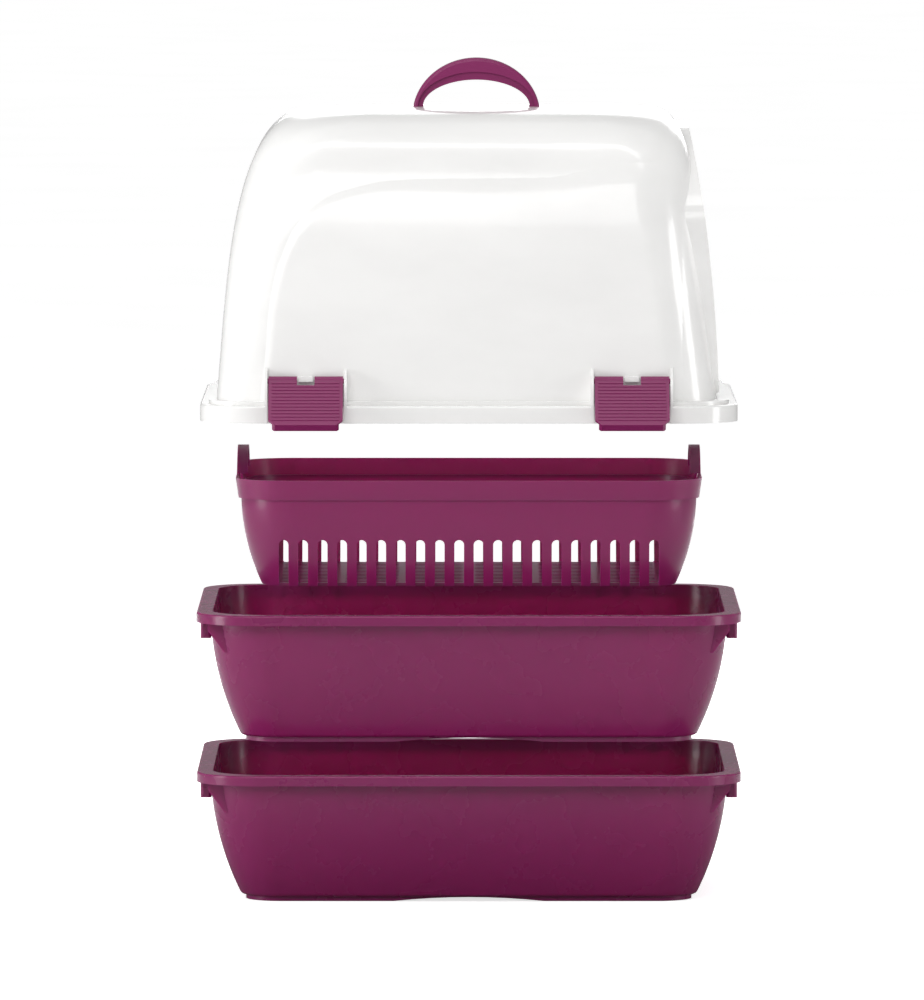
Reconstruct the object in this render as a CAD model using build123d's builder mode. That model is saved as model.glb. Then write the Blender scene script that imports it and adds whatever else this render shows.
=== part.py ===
"""Hooded cat litter box: two nesting trays, a sieve basket and a latched hood with a carry handle.

Frame: +X along the long side towards the entrance, +Z up, origin on the floor under the middle.
The rest pose is the taken-apart stack: each layer hangs straight above the one it drops into.
"""
import os
from math import cos, radians, sin, sqrt

from build123d import *

# ---------------------------------------------------------------- driving dimensions (mm)
WALL = 2.5                       # moulded wall thickness

# Heights of the layers above the floor in the rest pose
UPPER_TRAY_Z = 147.0
BASKET_Z = 289.0
HOOD_Z = 442.0

# Tray
TRAY_LENGTH = 500.0
TRAY_DEPTH = 400.0
TRAY_HEIGHT = 119.0
TRAY_CORNER = 55.0
TRAY_LIP = 12.0                  # how far the rim stands out past the wall
RIM_BAND = 9.0                   # height of the turned-down rim
TRAY_SWEEP = 280.0               # radius of the wall's upright curve
TRAY_SWEEP_Z = 127.0             # height of that curve's centre
FOOT_HEIGHT = 8.0
FLOOR_LIFT = 4.0                 # underside of the tray floor above the foot

# Sieve basket
BASKET_LENGTH = 429.0
BASKET_DEPTH = 331.0
BASKET_HEIGHT = 98.5
BASKET_CORNER = 48.0
BASKET_BAND = 18.0
BASKET_STEP = 6.0                # wall stands this far inside the top of the band
BASKET_SWEEP = 200.0
BASKET_SWEEP_Z = 85.0
SLOT_PITCH = 17.9
SLOT_WIDTH = 9.0
SLOT_TOP = 43.5
SIDE_SLOTS = 20
END_SLOTS = 13

# Hood
FLANGE_LENGTH = 493.0
FLANGE_DEPTH = 397.0
FLANGE_BAND = 16.0
FLANGE_CORNER = 52.0
HOOD_HEIGHT = 283.0
ENTRANCE_WIDTH = 216.0
ENTRANCE_SILL = 62.0
ENTRANCE_TOP = 243.0
ENTRANCE_SHOULDER = 62.0

# Latches
LATCH_X = 149.0                  # latch centres each side of the middle
LATCH_WIDTH = 68.0
PIVOT_Y = 188.5
PIVOT_Z = 38.5                   # above the flange's lower edge
PIN_RADIUS = 2.5
PIN_PLAY = 0.05
LATCH_REST = 40.0                # slope of the latch plate from upright, degrees
LATCH_DROP = 51.8                # pivot to lower edge along the plate
RIB_COUNT = 12
RIB_PITCH = 3.8

# Handle
HANDLE_SPAN = 115.0
HANDLE_RISE = 45.0
HANDLE_LEG = 8.5
HANDLE_CROWN = 20.0              # thickness of the arch at its top
HANDLE_GRIP = 26.0
HANDLE_X = 7.0
SOCKET_DEPTH = 9.0

os.makedirs("parts", exist_ok=True)


def level(half_x, half_y, corner, z, middle_x=0.0):
    """One horizontal rounded-rectangle section of a lofted shell."""
    with BuildSketch(Plane.XY.offset(z)) as section:
        with Locations((middle_x, 0)):
            RectangleRounded(2 * half_x, 2 * half_y, corner)
    return section.sketch


def even_heights(low, high, count):
    """Evenly spaced heights, which keep a loft from bulging between its sections."""
    return [low + (high - low) * step / (count - 1) for step in range(count)]


def sweep_inset(z, radius, centre_z):
    """How far a wall that follows an upright arc has drawn in at height z."""
    return radius - sqrt(radius**2 - (centre_z - z) ** 2)


def curved_levels(half_x, half_y, corner, heights, radius, centre_z, inside=0.0, lift=0.0):
    """Sections of a shell whose walls follow an upright arc."""
    sections = []
    for z in heights:
        inset = sweep_inset(z, radius, centre_z) + inside
        sections.append(level(half_x - inset, half_y - inset, corner - 0.45 * inset, z + lift))
    return sections


def save(piece, name):
    piece.part.label = name
    export_step(piece.part, f"parts/{name}.step")


# ---------------------------------------------------------------- trays
WALL_HALF_X = TRAY_LENGTH / 2 - TRAY_LIP
WALL_HALF_Y = TRAY_DEPTH / 2 - TRAY_LIP
RIM_TOP_INSIDE = TRAY_HEIGHT + 1.0
TRAY_HEIGHTS = even_heights(FLOOR_LIFT, TRAY_HEIGHT - WALL / 2, 7)
TRAY_HOLLOW = even_heights(FLOOR_LIFT + WALL, RIM_TOP_INSIDE, 7)
FOOT_INSET = 32.8                  # foot ring stands this far inside the top of the wall
BASE_ROUND = 5.0
FOOT_RING = 8.0
FOOT_CORNER = TRAY_CORNER - 22
RIM_ROUND = 1.6
ARCH_LENGTH = 138.0
ARCH_RISE = 3.6
GRIP_LENGTH = 256.0
GRIP_DROP = 17.0
GRIP_THICKNESS = 10.0
GRIP_SETBACK = 3.0               # grip stands this far inside the rim
GRIP_WALL = 2.0
GUSSET_Y = 168.0
GUSSET_HEIGHT = 27.0
GUSSET_REACH = 11.0               # gusset stops this far inside the rim
GUSSET_FOOT = 26.0
GUSSET_ROOT = 35.0
CATCH_PITCH = 26.5
CATCH_DROP = 3.0
CATCH_WIDTH = 3.0


def make_tray(name, base_z):
    """Open tray with a swept wall, foot ring, turned-down rim, end grips and catch ribs."""
    foot_x = WALL_HALF_X - FOOT_INSET
    foot_y = WALL_HALF_Y - FOOT_INSET
    rim_under = base_z + TRAY_HEIGHT - RIM_BAND
    with BuildPart() as tray:
        loft(
            sections=curved_levels(
                WALL_HALF_X, WALL_HALF_Y, TRAY_CORNER - 4, TRAY_HEIGHTS,
                TRAY_SWEEP, TRAY_SWEEP_Z, lift=base_z,
            )
        )
        fillet(tray.edges().group_by(Axis.Z)[0], radius=BASE_ROUND)
        with BuildSketch(Plane.XY.offset(base_z)):
            RectangleRounded(2 * foot_x, 2 * foot_y, FOOT_CORNER)
        extrude(amount=FOOT_HEIGHT)
        with BuildSketch(Plane.XY.offset(base_z)):
            RectangleRounded(2 * (foot_x - FOOT_RING), 2 * (foot_y - FOOT_RING), FOOT_CORNER - FOOT_RING)
        extrude(amount=FLOOR_LIFT, mode=Mode.SUBTRACT)

        # Turned-down rim
        with BuildSketch(Plane.XY.offset(rim_under)):
            RectangleRounded(TRAY_LENGTH, TRAY_DEPTH, TRAY_CORNER)
        extrude(amount=RIM_BAND)
        rim_edges = tray.edges().group_by(Axis.Z)[-1]
        fillet(rim_edges, radius=RIM_ROUND)
        with BuildSketch(Plane.XY.offset(rim_under)):
            RectangleRounded(TRAY_LENGTH - 2 * WALL, TRAY_DEPTH - 2 * WALL, TRAY_CORNER - WALL)
            RectangleRounded(2 * WALL_HALF_X - 2, 2 * WALL_HALF_Y - 2, TRAY_CORNER - 5, mode=Mode.SUBTRACT)
        extrude(amount=RIM_BAND - WALL, mode=Mode.SUBTRACT)

        # End grips under the rim, open below
        for side in (-1, 1):
            grip_face = TRAY_LENGTH / 2 - GRIP_SETBACK
            grip_x = side * (grip_face - GRIP_THICKNESS / 2)
            with BuildSketch(Plane.XY.offset(rim_under - GRIP_DROP)):
                with Locations((grip_x, 0)):
                    RectangleRounded(GRIP_THICKNESS, GRIP_LENGTH, 3)
                    RectangleRounded(
                        GRIP_THICKNESS - 2 * GRIP_WALL, GRIP_LENGTH - 2 * GRIP_WALL, 2,
                        mode=Mode.SUBTRACT,
                    )
            extrude(amount=GRIP_DROP + RIM_BAND - WALL)
            gusset_face = TRAY_LENGTH / 2 - GUSSET_REACH
            gusset_foot = TRAY_LENGTH / 2 - GUSSET_FOOT
            gusset_root = TRAY_LENGTH / 2 - GUSSET_ROOT
            for gusset_y in (-GUSSET_Y, GUSSET_Y):
                with BuildSketch(Plane.XZ.offset(-gusset_y)):
                    Polygon(
                        (side * gusset_root, rim_under + 2),
                        (side * gusset_face, rim_under + 2),
                        (side * gusset_face, rim_under - GUSSET_HEIGHT / 4),
                        (side * gusset_foot, rim_under - GUSSET_HEIGHT),
                        (side * gusset_root, rim_under - GUSSET_HEIGHT),
                        align=None,
                    )
                extrude(amount=WALL / 2, both=True)

        # Catch ribs for the latches under the long rims
        catch_places = [side * LATCH_X + step * CATCH_PITCH for side in (-1, 1) for step in (-1, 0, 1)]
        catch_y = (WALL_HALF_Y - 3, TRAY_DEPTH / 2 - 5)
        for side in (-1, 1):
            with BuildSketch(Plane.XY.offset(rim_under - CATCH_DROP)):
                with Locations([(x, side * sum(catch_y) / 2) for x in catch_places]):
                    Rectangle(CATCH_WIDTH, catch_y[1] - catch_y[0])
            extrude(amount=CATCH_DROP + RIM_BAND - WALL)

        # Hollow inside
        loft(
            sections=curved_levels(
                WALL_HALF_X, WALL_HALF_Y, TRAY_CORNER - 4, TRAY_HOLLOW,
                TRAY_SWEEP, TRAY_SWEEP_Z, inside=WALL, lift=base_z,
            ),
            mode=Mode.SUBTRACT,
        )

        # Shallow arch in the foot along both long sides
        with BuildSketch(Plane.XZ):
            with BuildLine():
                ThreePointArc((-ARCH_LENGTH / 2, base_z), (0, base_z + ARCH_RISE), (ARCH_LENGTH / 2, base_z))
                Line((ARCH_LENGTH / 2, base_z), (-ARCH_LENGTH / 2, base_z))
            make_face()
        extrude(amount=TRAY_DEPTH, both=True, mode=Mode.SUBTRACT)
    save(tray, name)


make_tray("lower_tray", 0.0)
make_tray("upper_tray", UPPER_TRAY_Z)

# ---------------------------------------------------------------- sieve basket
BASKET_RIM = BASKET_HEIGHT - BASKET_BAND
BASKET_HALF_X = BASKET_LENGTH / 2 - BASKET_STEP + 1
BASKET_HALF_Y = BASKET_DEPTH / 2 - BASKET_STEP + 1
BASKET_HEIGHTS = even_heights(0.0, BASKET_RIM + 1, 6)
BASKET_HOLLOW = even_heights(WALL, BASKET_RIM + WALL + 1, 6)
BAND_TAPER = 2.5
GRIP_ARCH_WIDTH = 118.0
GRIP_ARCH_RISE = 23.0
GRIP_HOLE_WIDTH = 92.0
GRIP_HOLE_RISE = 9.0
GRIP_HOLE_DROP = 22.0
GRIP_HOLE_CORNER = 11.0
GRIP_LIP = 10.0
GRIP_RIM = 12.0                   # width of the arch left round its hollow
FLOOR_COLUMNS = 6
FLOOR_COLUMN_PITCH = 59.5
FLOOR_ROWS = 14
FLOOR_ROW_PITCH = 17.9
FLOOR_SLOT_LENGTH = 50.0
EDGE_CUT = 9.0                    # wall slots carry on this far under the floor
SLOT_CUT = 60.0

basket_rim_z = BASKET_Z + BASKET_RIM
basket_top_z = BASKET_Z + BASKET_HEIGHT
basket_foot = sweep_inset(0, BASKET_SWEEP, BASKET_SWEEP_Z)

with BuildPart() as sieve_basket:
    loft(
        sections=curved_levels(
            BASKET_HALF_X, BASKET_HALF_Y, BASKET_CORNER, BASKET_HEIGHTS,
            BASKET_SWEEP, BASKET_SWEEP_Z, lift=BASKET_Z,
        )
    )
    loft(
        sections=[
            level(BASKET_LENGTH / 2 - BAND_TAPER, BASKET_DEPTH / 2 - BAND_TAPER, BASKET_CORNER, basket_rim_z),
            level(BASKET_LENGTH / 2, BASKET_DEPTH / 2, BASKET_CORNER + 2, basket_top_z),
        ]
    )
    # Grip arches over both ends
    for side in (-1, 1):
        lip_x = side * (BASKET_LENGTH / 2 - GRIP_LIP / 2)
        with BuildSketch(Plane.YZ.offset(lip_x)):
            with BuildLine():
                ThreePointArc(
                    (-GRIP_ARCH_WIDTH / 2, basket_top_z - 1),
                    (0, basket_top_z + GRIP_ARCH_RISE),
                    (GRIP_ARCH_WIDTH / 2, basket_top_z - 1),
                )
                Line((GRIP_ARCH_WIDTH / 2, basket_top_z - 1), (-GRIP_ARCH_WIDTH / 2, basket_top_z - 1))
            make_face()
        extrude(amount=GRIP_LIP / 2, both=True)
    # Hollow of the wall, then the wider hollow of the band
    loft(
        sections=curved_levels(
            BASKET_HALF_X, BASKET_HALF_Y, BASKET_CORNER, BASKET_HOLLOW,
            BASKET_SWEEP, BASKET_SWEEP_Z, inside=WALL, lift=BASKET_Z,
        ),
        mode=Mode.SUBTRACT,
    )
    band_inside = WALL + BAND_TAPER
    loft(
        sections=[
            level(
                BASKET_LENGTH / 2 - band_inside, BASKET_DEPTH / 2 - band_inside,
                BASKET_CORNER - WALL, basket_rim_z + WALL,
            ),
            level(
                BASKET_LENGTH / 2 - WALL, BASKET_DEPTH / 2 - WALL,
                BASKET_CORNER - WALL + 2, basket_top_z,
            ),
        ],
        mode=Mode.SUBTRACT,
    )
    # Hollow under each arch, leaving a wall with a rolled lip round its edge
    for side in (-1, 1):
        inner_x = side * (BASKET_LENGTH / 2 - WALL)
        with BuildSketch(Plane.YZ.offset(inner_x)):
            with BuildLine():
                ThreePointArc(
                    (-GRIP_ARCH_WIDTH / 2 + GRIP_RIM, basket_top_z),
                    (0, basket_top_z + GRIP_ARCH_RISE - WALL),
                    (GRIP_ARCH_WIDTH / 2 - GRIP_RIM, basket_top_z),
                )
                Line((GRIP_ARCH_WIDTH / 2 - GRIP_RIM, basket_top_z), (-GRIP_ARCH_WIDTH / 2 + GRIP_RIM, basket_top_z))
            make_face()
        extrude(amount=-side * GRIP_LIP, mode=Mode.SUBTRACT)
        # Rounded hand hole through the arch
        hole_height = GRIP_HOLE_RISE + GRIP_HOLE_DROP - 6
        with BuildSketch(Plane.YZ.offset(side * BASKET_LENGTH / 2 - side * 20)):
            with Locations((0, basket_top_z + GRIP_HOLE_RISE - hole_height / 2)):
                RectangleRounded(GRIP_HOLE_WIDTH, hole_height, GRIP_HOLE_CORNER)
        extrude(amount=30 * side, mode=Mode.SUBTRACT)

    # Upright slots down the walls and round the floor's edge
    slot_height = SLOT_TOP + 10
    for side in (-1, 1):
        with BuildSketch(Plane.XZ.offset(side * (BASKET_HALF_Y - basket_foot - EDGE_CUT))):
            with Locations((0, BASKET_Z + SLOT_TOP - slot_height / 2)):
                with GridLocations(SLOT_PITCH, 0, SIDE_SLOTS, 1):
                    SlotOverall(slot_height, SLOT_WIDTH, rotation=90)
        extrude(amount=side * SLOT_CUT, mode=Mode.SUBTRACT)
        with BuildSketch(Plane.YZ.offset(side * (BASKET_HALF_X - basket_foot - EDGE_CUT))):
            with Locations((0, BASKET_Z + SLOT_TOP - slot_height / 2)):
                with GridLocations(SLOT_PITCH, 0, END_SLOTS, 1):
                    SlotOverall(slot_height, SLOT_WIDTH, rotation=90)
        extrude(amount=side * SLOT_CUT, mode=Mode.SUBTRACT)

    # Rows of sieve slots in the floor, between cross ribs
    with BuildSketch(Plane.XY.offset(BASKET_Z - 1)):
        with GridLocations(FLOOR_COLUMN_PITCH, FLOOR_ROW_PITCH, FLOOR_COLUMNS, FLOOR_ROWS):
            SlotOverall(FLOOR_SLOT_LENGTH, SLOT_WIDTH)
    extrude(amount=WALL + 2, mode=Mode.SUBTRACT)
save(sieve_basket, "sieve_basket")


# ---------------------------------------------------------------- hood
# Outline of the hood above its foot: reach at the foot, lean per mm, drop into the roof,
# then how late and how softly that rounding comes
REAR_OUTLINE = (232.7, 0.072, 87.0, 4.05, 3.19)
FRONT_OUTLINE = (228.8, 0.092, 43.5, 10.5, 2.68)
SIDE_OUTLINE = (184.1, 0.086, 107.2, 7.0, 2.88)
SKIN_FOOT = 13.0
SKIN_SECTIONS = 11
SKIN_STEPS = 600


def reach(outline, z):
    """Distance of the hood's skin from the middle at height z above the flange's lower edge."""
    foot, lean, drop, power, softness = outline
    rise = min(z / HOOD_HEIGHT, 1.0)
    return foot - lean * z - drop * (1 - (1 - rise**power) ** (1 / softness))


def skin_heights():
    """Heights spaced evenly along the side's outline, closer together where it rounds over."""
    heights = even_heights(SKIN_FOOT, HOOD_HEIGHT, SKIN_STEPS)
    walked = [0.0]
    for low, high in zip(heights, heights[1:]):
        across = reach(SIDE_OUTLINE, high) - reach(SIDE_OUTLINE, low)
        walked.append(walked[-1] + sqrt((high - low) ** 2 + across**2))
    places = even_heights(0.0, walked[-1], SKIN_SECTIONS)
    return [min(zip(walked, heights), key=lambda pair: abs(pair[0] - place))[1] for place in places]


def skin_section(z, inside, shrink=1.0):
    """One section of the hood's skin, drawn in by the given thickness."""
    rear = reach(REAR_OUTLINE, z)
    front = reach(FRONT_OUTLINE, z)
    half_y = reach(SIDE_OUTLINE, z) - inside
    corner = min(44 + 0.07 * z - inside, 0.88 * half_y)
    return level((front + rear) / 2 - inside, half_y, corner, HOOD_Z + z * shrink, (front - rear) / 2)


FRAME_HALF = 146.0
FRAME_FOOT = 19.0
FRAME_TOP = 270.0
FRAME_ARC = ((229.3, 25.0), (220.0, 158.0), (202.6, 270.0))
FRAME_BACK = 168.0
FRAME_SHOULDER = 80.0
FRAME_CUT = 120.0
ARCH_ROUND = 26.0
BEAD_INSET = 8.0
BEAD_RISE = 3.5
NOTCH_HALF = LATCH_WIDTH / 2 + 1.2
NOTCH_Y = 194.0
EAR_THICKNESS = 2.5
EAR_GAP = 1.0
TAB_WIDTH = 13.0
TAB_HEIGHT = 5.0
TAB_LOW = 37.8
TAB_ROOT = 178.0
TAB_END = 189.2
EAR_FOOT = 178.0
EAR_TOP = 52.0
SOCKET_WALL = 3.0
LEG_DEPTH = 18.0
SOCKET_PLAY = 0.1


def arch(half_width, foot, top, shoulder):
    """Upright opening with a rounded top: two legs, two shoulders and a crown arc."""
    with BuildSketch() as outline:
        with BuildLine():
            Line((-half_width, foot), (half_width, foot))
            Line((half_width, foot), (half_width, top - shoulder))
            ThreePointArc(
                (half_width, top - shoulder),
                (0, top),
                (-half_width, top - shoulder),
            )
            Line((-half_width, top - shoulder), (-half_width, foot))
        make_face()
        fillet(outline.vertices(), radius=ARCH_ROUND)
    return outline.sketch


# Proud frame round the entrance: an arch whose face leans back along an arc
with BuildPart() as entrance_frame:
    with BuildSketch(Plane.XZ):
        with BuildLine():
            low, middle, high = [(x, HOOD_Z + z) for x, z in FRAME_ARC]
            ThreePointArc(low, middle, high)
            Polyline(high, (FRAME_BACK, high[1]), (FRAME_BACK, HOOD_Z + FRAME_FOOT), low)
        make_face()
    extrude(amount=FRAME_HALF + 10, both=True)
    with BuildSketch(Plane.YZ.offset(FRAME_BACK - 5)):
        add(arch(FRAME_HALF, HOOD_Z + FRAME_FOOT, HOOD_Z + FRAME_TOP, FRAME_SHOULDER))
    extrude(amount=FRAME_CUT, mode=Mode.INTERSECT)

latch_places = [(side, x) for side in (-1, 1) for x in (-LATCH_X, LATCH_X)]
leg_places = [HANDLE_X + hand * (HANDLE_SPAN - HANDLE_LEG) / 2 for hand in (-1, 1)]

with BuildPart() as hood:
    loft(sections=[skin_section(z, 0) for z in skin_heights()])
    # Flange all round the foot, with a raised bead
    with BuildSketch(Plane.XY.offset(HOOD_Z)):
        RectangleRounded(FLANGE_LENGTH, FLANGE_DEPTH, FLANGE_CORNER)
    extrude(amount=FLANGE_BAND)
    flange_top = hood.edges().filter_by(lambda e: abs(e.center().Z - HOOD_Z - FLANGE_BAND) < 0.01)
    fillet(flange_top.sort_by(Axis.Y)[0], radius=2)
    with BuildSketch(Plane.XY.offset(HOOD_Z + FLANGE_BAND - 1)):
        RectangleRounded(
            FLANGE_LENGTH - 2 * BEAD_INSET, FLANGE_DEPTH - 2 * BEAD_INSET, FLANGE_CORNER - BEAD_INSET
        )
    extrude(amount=BEAD_RISE + 1)
    add(entrance_frame.part)
    # Hollow cabin, and the open foot below it
    top_shrink = (HOOD_HEIGHT - WALL) / HOOD_HEIGHT
    loft(sections=[skin_section(z, WALL, top_shrink) for z in skin_heights()], mode=Mode.SUBTRACT)
    add(skin_section(SKIN_FOOT, WALL))
    extrude(amount=-SKIN_FOOT - 1, mode=Mode.SUBTRACT)
    # Hollow under the flange
    with BuildSketch(Plane.XY.offset(HOOD_Z)):
        RectangleRounded(FLANGE_LENGTH - 2 * WALL, FLANGE_DEPTH - 2 * WALL, FLANGE_CORNER - WALL)
    extrude(amount=FLANGE_BAND - WALL, mode=Mode.SUBTRACT)
    # Entrance through the frame
    with BuildSketch(Plane.YZ.offset(FRAME_BACK - 20)):
        add(arch(ENTRANCE_WIDTH / 2, HOOD_Z + ENTRANCE_SILL, HOOD_Z + ENTRANCE_TOP, ENTRANCE_SHOULDER))
    extrude(amount=FRAME_CUT, mode=Mode.SUBTRACT)
    # Notches in the flange that let the latches swing past, closed by a short inner skirt
    for side, x in latch_places:
        skirt_y = side * (NOTCH_Y - WALL / 2)
        with BuildSketch(Plane.XY.offset(HOOD_Z)):
            with Locations((x, side * (NOTCH_Y + 10))):
                Rectangle(2 * NOTCH_HALF, 20)
        extrude(amount=FLANGE_BAND + 6, mode=Mode.SUBTRACT)
        with BuildSketch(Plane.XY.offset(HOOD_Z)):
            with Locations((x, skirt_y)):
                Rectangle(2 * NOTCH_HALF + 2 * EAR_THICKNESS, WALL)
        extrude(amount=FLANGE_BAND)
        # Stop tab that fills the gap in the latch's top edge
        with BuildSketch(Plane.XY.offset(HOOD_Z + TAB_LOW)):
            with Locations((x, side * (TAB_ROOT + TAB_END) / 2)):
                Rectangle(TAB_WIDTH, TAB_END - TAB_ROOT)
        extrude(amount=TAB_HEIGHT)
        # Ears that carry the latch pins
        for hand in (-1, 1):
            ear_x = x + hand * (LATCH_WIDTH / 2 + EAR_GAP + EAR_THICKNESS / 2)
            with BuildSketch(Plane.YZ.offset(ear_x)):
                Polygon(
                    (side * EAR_FOOT, HOOD_Z + EAR_TOP),
                    (side * (PIVOT_Y + 1), HOOD_Z + PIVOT_Z + 6.5),
                    (side * (PIVOT_Y + 5.5), HOOD_Z + PIVOT_Z + 2.5),
                    (side * FLANGE_DEPTH / 2, HOOD_Z + FLANGE_BAND),
                    (side * FLANGE_DEPTH / 2, HOOD_Z),
                    (side * (NOTCH_Y - WALL), HOOD_Z),
                    (side * (NOTCH_Y - WALL), HOOD_Z + FLANGE_BAND - 1),
                    (side * (EAR_FOOT + WALL), HOOD_Z + FLANGE_BAND - 1),
                    align=None,
                )
            extrude(amount=EAR_THICKNESS / 2, both=True)
            with BuildSketch(Plane.YZ.offset(ear_x)):
                with Locations((side * PIVOT_Y, HOOD_Z + PIVOT_Z)):
                    Circle(PIN_RADIUS + PIN_PLAY)
            extrude(amount=EAR_THICKNESS, both=True, mode=Mode.SUBTRACT)

    # Blind sockets in the roof for the handle's legs
    for leg_x in leg_places:
        with BuildSketch(Plane.XY.offset(HOOD_Z + HOOD_HEIGHT - SOCKET_DEPTH - WALL)):
            with Locations((leg_x, 0)):
                RectangleRounded(HANDLE_LEG + 2 * SOCKET_WALL, LEG_DEPTH + 2 * SOCKET_WALL, SOCKET_WALL)
        extrude(amount=SOCKET_DEPTH + WALL)
        with BuildSketch(Plane.XY.offset(HOOD_Z + HOOD_HEIGHT - SOCKET_DEPTH)):
            with Locations((leg_x, 0)):
                Rectangle(HANDLE_LEG + 2 * SOCKET_PLAY, LEG_DEPTH + 2 * SOCKET_PLAY)
        extrude(amount=SOCKET_DEPTH + 1, mode=Mode.SUBTRACT)
save(hood, "hood")


# ---------------------------------------------------------------- carry handle
roof_z = HOOD_Z + HOOD_HEIGHT


def handle_band(outer, inner, width):
    """Arched band standing on the roof, between two ellipses given as half width, height, sink."""
    with BuildPart() as band:
        with BuildSketch(Plane.XZ):
            for (half_width, height, sink), mode in ((outer, Mode.ADD), (inner, Mode.SUBTRACT)):
                with Locations((HANDLE_X, roof_z - sink)):
                    Ellipse(half_width, height + sink, mode=mode)
            with Locations((HANDLE_X, roof_z - HANDLE_SPAN / 2)):
                Rectangle(2 * HANDLE_SPAN, HANDLE_SPAN, mode=Mode.SUBTRACT)
        extrude(amount=width / 2, both=True)
    return band.part


half_span = HANDLE_SPAN / 2
outer_curve = (half_span + 2, HANDLE_RISE, 9.6)
ridge_curve = (half_span - HANDLE_LEG * 0.4, HANDLE_RISE - HANDLE_CROWN * 0.64, 0)
inner_curve = (half_span - HANDLE_LEG + 0.5, HANDLE_RISE - HANDLE_CROWN, 0)

grip_band = handle_band(outer_curve, ridge_curve, HANDLE_GRIP)
under_band = handle_band(ridge_curve, inner_curve, HANDLE_GRIP - 5)

with BuildPart() as carry_handle:
    add(grip_band)
    crown = carry_handle.edges().filter_by(lambda e: e.center().Z > roof_z + 20)
    fillet(crown.filter_by(lambda e: abs(e.center().Y) > HANDLE_GRIP / 2 - 0.1).sort_by(Axis.Z)[-2:], radius=3)
    add(under_band)
    for leg_x in leg_places:
        with BuildSketch(Plane.XY.offset(roof_z - SOCKET_DEPTH)):
            with Locations((leg_x, 0)):
                Rectangle(HANDLE_LEG, LEG_DEPTH)
        extrude(amount=SOCKET_DEPTH + 1)
save(carry_handle, "carry_handle")


# ---------------------------------------------------------------- latches
PLATE = 2.5
KNUCKLE = 3.0
PLATE_TOP = 3.5
NOTCH_WIDTH = TAB_WIDTH + 3
HOOK_REACH = 8.0
SLANT = 7.0
HOOK_ROUND = 1.8
RIB_MARGIN = 3.0
RIB_PROUD = 0.6


def make_latch(name, side, x):
    """Ribbed snap latch on two stub pins, hooking in at its lower edge."""
    slope = radians(LATCH_REST)
    face = Plane(
        origin=(x, side * PIVOT_Y, HOOD_Z + PIVOT_Z),
        x_dir=(-side, 0, 0),
        z_dir=(0, side * cos(slope), sin(slope)),
    )
    across = Plane(origin=face.origin, x_dir=face.y_dir, z_dir=face.x_dir)
    with BuildPart() as latch:
        # Plate below the pins and the hooked lower edge, drawn from the side
        with BuildSketch(across):
            with BuildLine():
                Polyline(
                    (PLATE_TOP, 0), (PLATE_TOP, PLATE), (-LATCH_DROP, PLATE),
                    (-LATCH_DROP, -HOOK_REACH), (-LATCH_DROP + PLATE, -HOOK_REACH),
                    (-LATCH_DROP + PLATE, 0), close=True,
                )
            make_face()
        extrude(amount=LATCH_WIDTH / 2, both=True)
        corner = latch.edges().filter_by(Axis.X).sort_by(Axis.Z)[0]
        fillet(corner, radius=HOOK_ROUND)
        with BuildSketch(across):
            Circle(KNUCKLE)
        extrude(amount=LATCH_WIDTH / 2, both=True)
        # Slanted lower corners
        with BuildSketch(face.offset(PLATE + 1)):
            for hand in (-1, 1):
                edge = hand * (LATCH_WIDTH / 2 + 1)
                Polygon(
                    (edge, -LATCH_DROP - 1), (edge - hand * (SLANT + 1), -LATCH_DROP - 1),
                    (edge, -LATCH_DROP + SLANT), align=None,
                )
        extrude(amount=-PLATE - HOOK_REACH - 3, mode=Mode.SUBTRACT)
        # Finger ribs over the outer face
        with BuildSketch(face.offset(PLATE)):
            with Locations((0, -LATCH_DROP / 2 + 1)):
                with GridLocations(0, RIB_PITCH, 1, RIB_COUNT):
                    Rectangle(LATCH_WIDTH - 2 * RIB_MARGIN, RIB_PITCH * 0.45)
        extrude(amount=RIB_PROUD)
        # Gap in the top edge
        with BuildSketch(face.offset(-2 * KNUCKLE)):
            with Locations((0, 2)):
                Rectangle(NOTCH_WIDTH, 13)
        extrude(amount=4 * KNUCKLE, mode=Mode.SUBTRACT)
        # Stub pins
        with BuildSketch(across):
            Circle(PIN_RADIUS)
        pin_end = LATCH_WIDTH / 2 + EAR_GAP + EAR_THICKNESS
        extrude(amount=pin_end, both=True)
        with BuildSketch(across):
            Circle(KNUCKLE + 4)
        extrude(amount=NOTCH_WIDTH / 2, both=True, mode=Mode.SUBTRACT)
    save(latch, name)


make_latch("latch_near_rear", -1, -LATCH_X)
make_latch("latch_near_front", -1, LATCH_X)
make_latch("latch_far_rear", 1, -LATCH_X)
make_latch("latch_far_front", 1, LATCH_X)
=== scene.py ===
"""Hooded cat litter box, taken apart: plum trays, sieve basket, latches and handle, white hood.

Every CAD node is shown as it is, in a procedural plastic. The soft embossed shoulders on the two
long sides of the hood are the only pieces made here.
"""
import math

import bmesh
import bpy
import numpy as np
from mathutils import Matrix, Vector


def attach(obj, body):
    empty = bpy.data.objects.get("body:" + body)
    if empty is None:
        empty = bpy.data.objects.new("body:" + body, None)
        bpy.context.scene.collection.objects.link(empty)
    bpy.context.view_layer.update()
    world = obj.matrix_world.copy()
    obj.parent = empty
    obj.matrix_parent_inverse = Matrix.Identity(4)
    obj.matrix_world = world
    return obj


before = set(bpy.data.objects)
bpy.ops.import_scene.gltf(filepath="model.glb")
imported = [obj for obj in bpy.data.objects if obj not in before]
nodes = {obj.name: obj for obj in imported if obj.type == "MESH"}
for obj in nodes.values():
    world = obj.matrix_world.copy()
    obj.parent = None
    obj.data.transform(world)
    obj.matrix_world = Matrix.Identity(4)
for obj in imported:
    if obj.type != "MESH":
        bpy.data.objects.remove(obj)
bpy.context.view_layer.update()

# ---------------------------------------------------------------- settings: view and studio (m)
CAMERA_ELEVATION = math.radians(3.9)
CAMERA_DISTANCE = 11.0            # from the middle of the object
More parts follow.
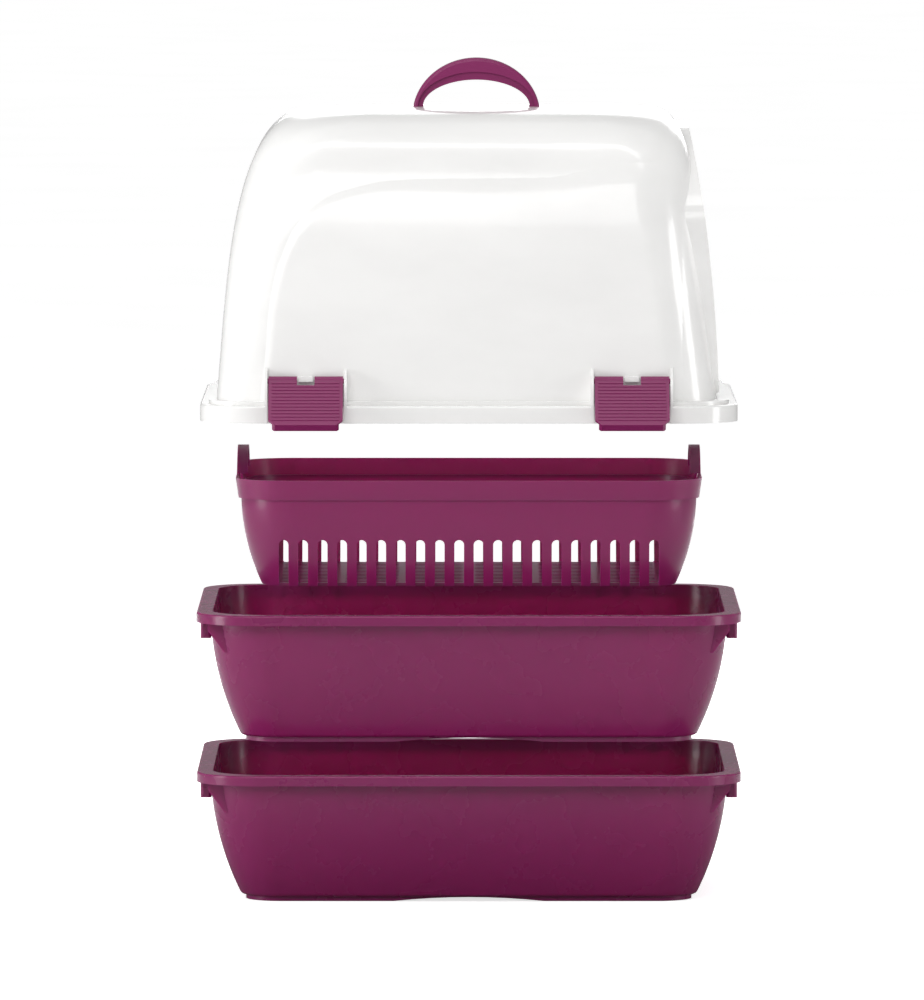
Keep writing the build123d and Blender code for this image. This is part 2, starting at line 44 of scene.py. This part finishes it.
FRAME_HEIGHT = 0.930              # the picture's height at the object
FRAME_CENTRE_Z = 0.3588           # height above the floor at the picture's middle
FRAME_CENTRE_X = -0.0063
SENSOR = 36.0                     # mm
FAR_CLIP = 300

AMBIENT = 0.33                    # world light on the object
BACKDROP = 1.05                   # world brightness seen directly

FLOOR_SIZE = 240.0
FLOOR_DROP = 0.0005               # the floor lies this far below the trays' feet
FLOOR_GLOW = 0.73                 # floor brightness seen directly, on top of the light it gets
FLOOR_LIFT = 0.05                 # the floor glows this much more than it gets; this faint glow also lights the object
FLOOR_SHADE_OVAL_SCALE = (1.3, 1.6, 1.0)  # the painted shade on the floor is a long oval round the object
# Painted shade: the floor's colour in what it reflects and gives off onto the object, dark near
# it and pale further out
FLOOR_PAINTED_SHADE = [(0.30, (0.24, 0.2, 0.22)), (0.75, (0.8, 0.8, 0.8))]
FLOOR_SEEN = [(0.0, (0.88, 0.88, 0.88)), (1.0, (0.92, 0.92, 0.92))]
FLOOR_GRAIN_SCALE = 3.0
FLOOR_ROUGHNESS = 0.9

# Softboxes, all aimed at AIM: place, width and height, power in watts
AIM = (0, 0, 0.4)
LIGHTS = {
    "front": ((-1.0, -3.2, 2.3), (3.0, 1.6), 52),
    "left": ((-3.0, -0.9, 0.7), (1.0, 1.4), 42),
    "right": ((3.0, -0.9, 0.7), (0.8, 1.4), 24),
    "back": ((0.0, 3.0, 0.9), (3.0, 1.6), 84),
    "back_white": ((0.6, 3.0, 1.6), (2.4, 1.6), 34),
    "top": ((0, 0.1, 3.0), (3.0, 2.4), 10),
    "strip": ((-0.2, -0.55, 2.3), (2.2, 0.22), 7),
}

# ---------------------------------------------------------------- settings: plastics
PLUM = (0.212, 0.013, 0.100)
WHITE = (0.86, 0.855, 0.845)
# Colour, roughness, clear coat, and how much light goes through the wall
FINISHES = {
    "plum_plastic": (PLUM, 0.27, 0.1, 0.5),
    "sieve_plastic": (PLUM, 0.3, 0.1, 0.5),
    "latch_plastic": (PLUM, 0.4, 0.05, 0.0),
    "white_plastic": (WHITE, 0.22, 0.4, 0.0),
}
FLOW_SCALE = 7.0                  # faint flow marks, drawn out sideways
FLOW_STRETCH = (1.0, 1.0, 2.4)
FLOW_TINTS = [(0.3, 0.97), (0.7, 1.03)]
GLOSS_SCALE = 22.0                # uneven gloss, as a range of the finish's roughness
GLOSS_RANGE = (0.92, 1.1)
PEBBLE_SCALE = 900.0              # fine pebbling of the mould's skin
PEBBLE_STRENGTH = 0.05
PEBBLE_HEIGHT = 0.0004            # m
COAT_ROUGHNESS = 0.08
PLASTIC_IOR = 1.49
SPECULAR_LEVEL = 0.38
LIGHT_REACH = (0.012, 0.004, 0.008)  # m that red, green and blue go inside the plastic

# ---------------------------------------------------------------- settings: hood's shoulders (mm)
# Outline of the hood, as the frame has it: reach at the foot, lean per mm, drop into the roof,
# then how late and how softly that rounding comes. Heights start at the hood's lower edge.
HOOD_Z = 442.0
HOOD_HEIGHT = 283.0
REAR_OUTLINE = (232.7, 0.072, 87.0, 4.05, 3.19)
FRONT_OUTLINE = (228.8, 0.092, 43.5, 10.5, 2.68)
SIDE_OUTLINE = (184.1, 0.086, 107.2, 7.0, 2.88)
CORNER_FOOT = 44                  # corner radius seen from above: at the foot,
CORNER_GROWTH = 0.07              # more per mm of height,
CORNER_LIMIT = 0.88               # and at most this share of the side's reach
# Line where the raised side begins, then how wide its slope is along x
SHOULDER = [
    (-196, 4), (-193, 24), (-189, 60), (-185, 107), (-176, 148), (-160, 182), (-134, 206),
    (-99, 219), (-60, 226), (37, 232), (85, 236), (127, 245), (192, 247), (230, 247),
]
SLOPE_WIDTHS = ([-200, -120, -80, 0, 70, 134, 200], [9, 11, 14, 26, 38, 34, 28])
LINE_STEPS = 12                   # pieces between two points of that line
PANEL_X = (-206.0, 207.0)         # stretch of the grid that the panel is cut from
PANEL_Z = (10.0, 256.0)
PANEL_STEP = 2.5
PANEL_MARGIN = 4                  # the panel runs this far past the shoulder line
PANEL_SUNK = 0.6                  # depth of its edge under the hood's skin
PANEL_PROUD = 2.4
PANEL_BURIED = 1.3                # depth of the panel's back inside the hood's wall
PANEL_FADE = (176.0, 203.0)       # the raised side dies out towards the entrance
MM_PER_M = 1000


# ---------------------------------------------------------------- materials
class Nodes:
    """Small helper that adds and links shader nodes of one material."""

    def __init__(self, name):
        self.material = bpy.data.materials.new(name)
        self.material.use_nodes = True
        self.tree = self.material.node_tree
        self.shader = self.tree.nodes["Principled BSDF"]

    def add(self, kind, **settings):
        node = self.tree.nodes.new(kind)
        for key, value in settings.items():
            setattr(node, key, value)
        return node

    def link(self, source, target):
        self.tree.links.new(source, target)

    def fix(self, values):
        """Fixed values on the shader's own sockets."""
        for socket, value in values.items():
            self.shader.inputs[socket].default_value = value

    def place(self, stretch):
        """The object's own coordinates, stretched."""
        place = self.add("ShaderNodeTexCoord")
        mapping = self.add("ShaderNodeMapping")
        mapping.inputs["Scale"].default_value = stretch
        self.link(place.outputs["Object"], mapping.inputs["Vector"])
        return mapping.outputs["Vector"]

    def noise(self, scale, detail, stretch=(1, 1, 1)):
        texture = self.add("ShaderNodeTexNoise")
        texture.inputs["Scale"].default_value = scale
        texture.inputs["Detail"].default_value = detail
        self.link(self.place(stretch), texture.inputs["Vector"])
        return texture.outputs["Fac"]

    def ramp(self, factor, stops):
        """Colour ramp through (place, colour) stops."""
        node = self.add("ShaderNodeValToRGB")
        for element, (place, colour) in zip(node.color_ramp.elements, stops):
            element.position = place
            element.color = (*colour, 1.0)
        self.link(factor, node.inputs["Fac"])
        return node.outputs["Color"]

    def span(self, factor, low, high):
        """A factor of 0 to 1 spread over another range."""
        node = self.add("ShaderNodeMapRange")
        node.inputs["To Min"].default_value = low
        node.inputs["To Max"].default_value = high
        self.link(factor, node.inputs["Value"])
        return node.outputs["Result"]

    def calculate(self, operation, factor, value):
        node = self.add("ShaderNodeMath", operation=operation)
        node.inputs[1].default_value = value
        self.link(factor, node.inputs[0])
        return node.outputs["Value"]

    def bump(self, height, strength, distance):
        node = self.add("ShaderNodeBump")
        node.inputs["Strength"].default_value = strength
        node.inputs["Distance"].default_value = distance
        self.link(height, node.inputs["Height"])
        self.link(node.outputs["Normal"], self.shader.inputs["Normal"])


def moulded_plastic(name, colour, roughness, coat, see_through):
    """Injection-moulded plastic: faint flow marks, fine pebbling, slightly uneven gloss."""
    n = Nodes(name)
    flow = n.noise(FLOW_SCALE, detail=4.0, stretch=FLOW_STRETCH)
    tints = [(place, tuple(channel * tint for channel in colour)) for place, tint in FLOW_TINTS]
    n.link(n.ramp(flow, tints), n.shader.inputs["Base Color"])
    gloss = n.span(n.noise(GLOSS_SCALE, detail=5.0), *(roughness * end for end in GLOSS_RANGE))
    n.link(gloss, n.shader.inputs["Roughness"])
    n.bump(n.noise(PEBBLE_SCALE, detail=2.0), PEBBLE_STRENGTH, PEBBLE_HEIGHT)
    n.fix({
        "Coat Weight": coat,
        "Coat Roughness": COAT_ROUGHNESS,
        "IOR": PLASTIC_IOR,
        "Specular IOR Level": SPECULAR_LEVEL,
    })
    if see_through:
        n.fix({
            "Subsurface Weight": see_through,
            "Subsurface Radius": LIGHT_REACH,
            "Subsurface Scale": 1.0,
        })
    return n.material


def floor_material():
    """Pale floor: white where it is seen, with painted shade round the object in the light it
    reflects and gives off.
    """
    n = Nodes("floor_white")
    away = n.add("ShaderNodeVectorMath", operation="LENGTH")
    n.link(n.place(FLOOR_SHADE_OVAL_SCALE), away.inputs[0])
    # painted shade on the floor, dark near the object, in what it reflects and gives off
    given = n.ramp(away.outputs["Value"], FLOOR_PAINTED_SHADE)
    seen = n.ramp(n.noise(FLOOR_GRAIN_SCALE, detail=2.0), FLOOR_SEEN)
    is_seen = n.add("ShaderNodeLightPath").outputs["Is Camera Ray"]
    pick = n.add("ShaderNodeMix", data_type="RGBA")
    n.link(is_seen, pick.inputs["Factor"])
    n.link(given, pick.inputs["A"])
    n.link(seen, pick.inputs["B"])
    glow = n.calculate("MULTIPLY", is_seen, FLOOR_GLOW)
    n.link(pick.outputs["Result"], n.shader.inputs["Base Color"])
    n.link(pick.outputs["Result"], n.shader.inputs["Emission Color"])
    n.link(n.calculate("ADD", glow, FLOOR_LIFT), n.shader.inputs["Emission Strength"])
    n.fix({"Roughness": FLOOR_ROUGHNESS, "Specular IOR Level": 0.0})
    return n.material


def give(node_names, material):
    """Put a material on CAD nodes, whether or not they came with one."""
    for name in node_names:
        slots = nodes[name].material_slots
        for slot in slots:
            slot.material = material
        if not slots:
            nodes[name].data.materials.append(material)


# ---------------------------------------------------------------- camera, stage and light
def make_camera():
    data = bpy.data.cameras.new("camera")
    camera = bpy.data.objects.new("camera", data)
    bpy.context.scene.collection.objects.link(camera)
    target = Vector((FRAME_CENTRE_X, 0, FRAME_CENTRE_Z))
    back = Vector((0, -math.cos(CAMERA_ELEVATION), math.sin(CAMERA_ELEVATION)))
    camera.location = target + back * CAMERA_DISTANCE
    camera.rotation_euler = back.to_track_quat("Z", "Y").to_euler()
    data.sensor_width = SENSOR
    data.lens = SENSOR * CAMERA_DISTANCE / FRAME_HEIGHT
    data.clip_end = FAR_CLIP
    bpy.context.scene.camera = camera


def make_floor():
    bpy.ops.mesh.primitive_plane_add(size=FLOOR_SIZE, location=(0, 0, -FLOOR_DROP))
    floor = bpy.context.object
    floor.name = "floor"
    floor.data.materials.append(floor_material())


def make_world():
    """White all round: bright where it is seen, softer as light on the object."""
    world = bpy.data.worlds.new("studio")
    world.use_nodes = True
    tree = world.node_tree
    background = tree.nodes["Background"]
    background.inputs["Color"].default_value = (1, 1, 1, 1)
    path = tree.nodes.new("ShaderNodeLightPath")
    strength = tree.nodes.new("ShaderNodeMapRange")
    strength.inputs["To Min"].default_value = AMBIENT
    strength.inputs["To Max"].default_value = BACKDROP
    tree.links.new(path.outputs["Is Camera Ray"], strength.inputs["Value"])
    tree.links.new(strength.outputs["Result"], background.inputs["Strength"])
    bpy.context.scene.world = world


def area_light(name, location, size, power):
    data = bpy.data.lights.new(name, "AREA")
    data.shape = "RECTANGLE"
    data.size, data.size_y = size
    data.energy = power
    light = bpy.data.objects.new(name, data)
    light.location = location
    light.rotation_euler = (Vector(location) - Vector(AIM)).to_track_quat("Z", "Y").to_euler()
    light.visible_camera = False
    bpy.context.scene.collection.objects.link(light)
    return light


def limit_light(light, pieces, state):
    """Let a light reach only the given pieces (INCLUDE), or all but them (EXCLUDE)."""
    group = bpy.data.collections.new(light.name + "_reach")
    for piece in pieces:
        group.objects.link(piece)
    for entry in group.collection_objects:
        entry.light_linking.link_state = state
    light.light_linking.receiver_collection = group


# ---------------------------------------------------------------- embossed shoulders of the hood
def reach(outline, z):
    """How far the hood's outline stands from its middle at height z."""
    foot, lean, drop, power, softness = outline
    rise = np.minimum(z / HOOD_HEIGHT, 1.0)
    return foot - lean * z - drop * (1 - (1 - rise**power) ** (1 / softness))


def skin_depth(x, z):
    """How far out the hood's long side is at the given place."""
    rear, front, side = (reach(o, z) for o in (REAR_OUTLINE, FRONT_OUTLINE, SIDE_OUTLINE))
    corner = np.minimum(CORNER_FOOT + CORNER_GROWTH * z, CORNER_LIMIT * side)
    past = np.abs(x - (front - rear) / 2) - ((front + rear) / 2 - corner)
    past = np.clip(past, 0, corner)
    return side - corner + np.sqrt(corner**2 - past**2)


def smooth(value):
    value = np.clip(value, 0, 1)
    return value * value * (3 - 2 * value)


def rounded_line(points):
    """Points along a smooth curve through the given ones (Catmull-Rom)."""
    line = []
    padded = [points[0], *points, points[-1]]
    for a, b, c, d in zip(padded, padded[1:], padded[2:], padded[3:]):
        a, b, c, d = (np.array(v, float) for v in (a, b, c, d))
        for step in range(LINE_STEPS):
            t = step / LINE_STEPS
            line.append(0.5 * (2 * b + (c - a) * t + (2 * a - 5 * b + 4 * c - d) * t**2
                               + (3 * b - a - 3 * c + d) * t**3))
    return np.array(line)


def inside_shoulder(x, z):
    """Signed distance from the shoulder line, positive on the raised side."""
    line = rounded_line(SHOULDER)
    start, run = line[:-1], np.diff(line, axis=0)
    away = np.stack([x, z], -1)[..., None, :] - start
    along = np.clip((away * run).sum(-1) / (run**2).sum(-1), 0, 1)
    gap = away - along[..., None] * run
    distance = np.sqrt((gap**2).sum(-1))
    nearest = distance.argmin(-1)
    turn = run[..., 0] * away[..., 1] - run[..., 1] * away[..., 0]
    sign = -np.sign(np.take_along_axis(turn, nearest[..., None], -1)[..., 0])
    return sign * distance.min(-1)


def closed_sheet(face, back, keep):
    """Closed mesh between two grids of points, over the places that are kept."""
    mesh = bmesh.new()
    verts = {}
    for layer, points in (("face", face), ("back", back)):
        for i, j in np.argwhere(keep):
            verts[layer, i, j] = mesh.verts.new(points[i, j])
    for i, j in np.argwhere(keep):
        cell = [(i, j), (i + 1, j), (i + 1, j + 1), (i, j + 1)]
        if all(("face", *c) in verts for c in cell):
            mesh.faces.new([verts["face", *c] for c in cell])
            mesh.faces.new([verts["back", *c] for c in reversed(cell)])
    key_of = {vertex: key for key, vertex in verts.items()}
    for edge in [e for e in mesh.edges if e.is_boundary and key_of[e.verts[0]][0] == "face"]:
        a, b = edge.verts
        behind_a, behind_b = (verts["back", *key_of[v][1:]] for v in (a, b))
        mesh.faces.new([a, b, behind_b, behind_a])
    bmesh.ops.delete(mesh, geom=[v for v in mesh.verts if not v.link_faces], context="VERTS")
    bmesh.ops.recalc_face_normals(mesh, faces=mesh.faces)
    return mesh


def shoulder_panel(name, side, material):
    """Thin solid whose face stands proud of the hood's side and dips under it at its edge."""
    x, z = np.meshgrid(
        np.arange(*PANEL_X, PANEL_STEP), np.arange(*PANEL_Z, PANEL_STEP), indexing="ij"
    )
    gap = inside_shoulder(x, z)
    fade_start, fade_end = PANEL_FADE
    fade = smooth((x - fade_start) / (fade_end - fade_start))
    rise = smooth(gap / np.interp(x, *SLOPE_WIDTHS)) * (1 - fade)
    skin = skin_depth(x, z)
    depths = (skin - PANEL_SUNK + (PANEL_SUNK + PANEL_PROUD) * rise, skin - PANEL_BURIED)
    face, back = (np.stack([x, side * y, HOOD_Z + z], -1) / MM_PER_M for y in depths)
    mesh = closed_sheet(face, back, (gap > -PANEL_MARGIN) & (x < fade_end + 1))
    data = bpy.data.meshes.new(name)
    mesh.to_mesh(data)
    mesh.free()
    data.shade_smooth()
    panel = bpy.data.objects.new(name, data)
    bpy.context.scene.collection.objects.link(panel)
    panel.data.materials.append(material)
    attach(panel, "hood")
    return panel


# ---------------------------------------------------------------- the scene
make_camera()
make_floor()
make_world()
bpy.context.scene.view_settings.view_transform = "Standard"

plastics = {name: moulded_plastic(name, *finish) for name, finish in FINISHES.items()}
latches = [name for name in nodes if name.startswith("latch")]
give(["lower_tray", "upper_tray"], plastics["plum_plastic"])
give(["sieve_basket"], plastics["sieve_plastic"])
give([*latches, "carry_handle"], plastics["latch_plastic"])
give(["hood"], plastics["white_plastic"])

panels = [
    shoulder_panel("hood_shoulder_near", -1, plastics["white_plastic"]),
    shoulder_panel("hood_shoulder_far", 1, plastics["white_plastic"]),
]

# The strong back light shines through the plum plastic. It would wash out the white hood, which
# has a weaker one of its own.
lights = {name: area_light(name, *values) for name, values in LIGHTS.items()}
lights["back"].visible_glossy = False
limit_light(lights["back"], [nodes["hood"], *panels], "EXCLUDE")
limit_light(lights["back_white"], [nodes["hood"], *panels], "INCLUDE")
